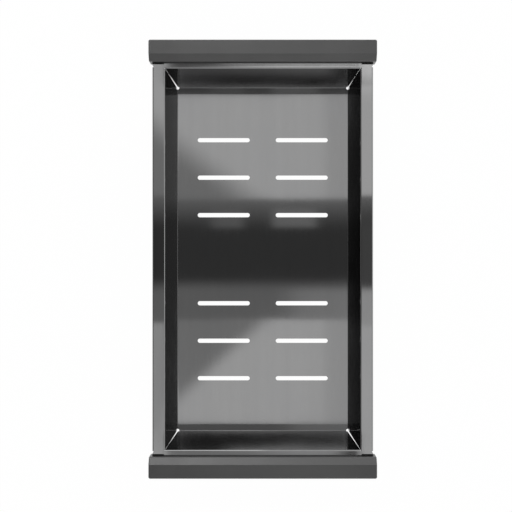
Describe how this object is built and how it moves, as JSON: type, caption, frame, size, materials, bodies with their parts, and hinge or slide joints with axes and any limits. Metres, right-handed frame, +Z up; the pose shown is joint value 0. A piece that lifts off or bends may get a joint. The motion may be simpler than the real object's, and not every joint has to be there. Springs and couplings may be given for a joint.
{
  "type": "utility tray",
  "caption": "Folded steel sink tray with drain slots in its floor, open corner seams, lipped side flanges and a moulded rail across each end to hang it from ledges.",
  "frame": {"origin": "middle of the pan floor's underside, where the tray stands", "axes": "+Z up out of the tray's mouth, +Y along its length towards the rear rail, +X across it to the right"},
  "size_m": [0.224, 0.43, 0.0686],
  "materials": {
    "gunmetal_steel": "dark gunmetal stainless sheet, fine brushed and bright enough to mirror its walls",
    "rail_plastic": "dark grey moulded plastic, satin",
    "base_plastic": "near-black moulded plastic, matte",
    "screw_steel": "plain stainless"
  },
  "bodies": {
    "root": {"tray_pan": "gunmetal_steel", "rear_rail_cap": "rail_plastic", "front_rail_cap": "rail_plastic", "rear_rail_base": "base_plastic", "front_rail_base": "base_plastic", "rear_rail_screw_1": "screw_steel", "rear_rail_screw_2": "screw_steel", "rear_rail_screw_3": "screw_steel", "front_rail_screw_1": "screw_steel", "front_rail_screw_2": "screw_steel", "front_rail_screw_3": "screw_steel"}
  },
  "joints": []
}
